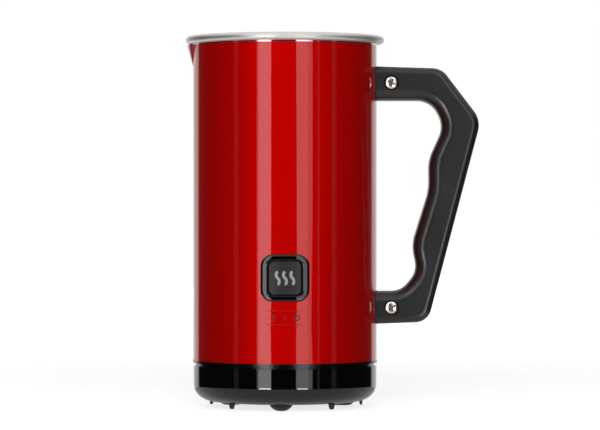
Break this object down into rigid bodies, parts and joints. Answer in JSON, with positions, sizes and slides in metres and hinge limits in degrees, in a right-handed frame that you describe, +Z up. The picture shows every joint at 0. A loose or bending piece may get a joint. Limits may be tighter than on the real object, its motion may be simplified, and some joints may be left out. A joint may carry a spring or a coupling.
{
  "type": "milk frothing jug",
  "caption": "Electric milk frothing jug: round double-walled steel jug with a V pouring lip, a D handle, a front button, a lift-out magnetic whisk and a cordless base contact.",
  "frame": {"origin": "on the table, under the middle of the round body", "axes": "+Z up, -Y out of the button's side, +X towards the handle, -X the pouring lip"},
  "size_m": [0.1432, 0.097, 0.1815],
  "materials": {
    "red_lacquer": "high-gloss lacquer over steel",
    "stainless_steel": "polished and finely brushed",
    "black_satin_plastic": "satin moulded",
    "black_gloss_plastic": "high gloss moulded",
    "symbol_light_guide": "milky, smooth",
    "black_rubber": "matt moulded",
    "nickel_steel": "nickel plated",
    "zinc_steel": "zinc plated",
    "brass": "bright",
    "circuit_board": "solder mask",
    "component_plastic": "moulded",
    "magnet_ferrite": "sintered",
    "cast_aluminium": "cast",
    "element_sheath": "drawn tube"
  },
  "bodies": {
    "jug": {"outer_shell": "red_lacquer", "inner_pot": "stainless_steel", "whisk_post": "stainless_steel", "handle": "black_satin_plastic", "chassis": "black_satin_plastic", "switch_housing": "black_satin_plastic", "motor_end_cap": "black_satin_plastic", "connector_body": "black_satin_plastic", "base_cup": "black_gloss_plastic", "button_bezel": "black_gloss_plastic", "indicator_leds": "symbol_light_guide", "foot_front": "black_rubber", "foot_rear_left": "black_rubber", "foot_rear_right": "black_rubber", "button_seal": "black_rubber", "handle_screws": "nickel_steel", "base_screws": "nickel_steel", "connector_screws": "nickel_steel", "board_screws": "nickel_steel", "chassis_screws": "nickel_steel", "motor_screws": "nickel_steel", "switch_screws": "nickel_steel", "handle_bracket_lower": "zinc_steel", "handle_bracket_upper": "zinc_steel", "motor_plate": "zinc_steel", "lower_standoffs": "zinc_steel", "upper_standoffs": "zinc_steel", "motor_can": "zinc_steel", "connector_pin": "brass", "connector_ring": "brass", "earth_ring": "brass", "motor_bushings": "brass", "switch_board": "circuit_board", "control_board": "circuit_board", "tact_switch": "component_plastic", "board_relay": "component_plastic", "board_capacitors": "component_plastic", "board_transformer": "component_plastic", "board_terminals": "component_plastic", "thermostat": "component_plastic", "wiring_harness": "component_plastic", "motor_magnets": "magnet_ferrite", "motor_brushes": "magnet_ferrite", "heater_plate": "cast_aluminium", "heating_element": "element_sheath", "temperature_sensor": "element_sheath"},
    "button": {"button_cap": "black_satin_plastic", "steam_symbol": "symbol_light_guide"},
    "plunger": {"switch_plunger": "component_plastic"},
    "rotor": {"motor_shaft": "nickel_steel", "motor_armature": "zinc_steel", "motor_windings": "brass", "commutator": "brass", "magnet_carrier": "black_satin_plastic", "drive_magnets": "magnet_ferrite"},
    "whisk_seat": {"whisk_bush": "black_satin_plastic"},
    "whisk": {"whisk_hub": "black_satin_plastic", "whisk_magnets": "magnet_ferrite", "whisk_spring": "stainless_steel"}
  },
  "joints": [
    {"name": "button_press", "type": "slide", "parent": "jug", "child": "button", "axis": [0, 1, 0], "range_m": [0, 0.0008], "stiffness_N_per_m": 1500},
    {"name": "plunger_travel", "type": "slide", "parent": "jug", "child": "plunger", "axis": [0, 1, 0], "range_m": [0, 0.0008]},
    {"name": "motor_spin", "type": "hinge", "parent": "jug", "child": "rotor", "pos_m": [0, 0, 0.05], "axis": [0, 0, 1], "continuous": true},
    {"name": "whisk_lift", "type": "slide", "parent": "jug", "child": "whisk_seat", "axis": [0, 0, 1], "range_m": [0, 0.115]},
    {"name": "whisk_spin", "type": "hinge", "parent": "whisk_seat", "child": "whisk", "pos_m": [0, 0, 0.086], "axis": [0, 0, 1], "continuous": true}
  ],
  "couplings": [
    {"joint": "plunger_travel", "follows": "button_press", "ratio": 1},
    {"joint": "whisk_spin", "follows": "motor_spin", "ratio": 1}
  ]
}
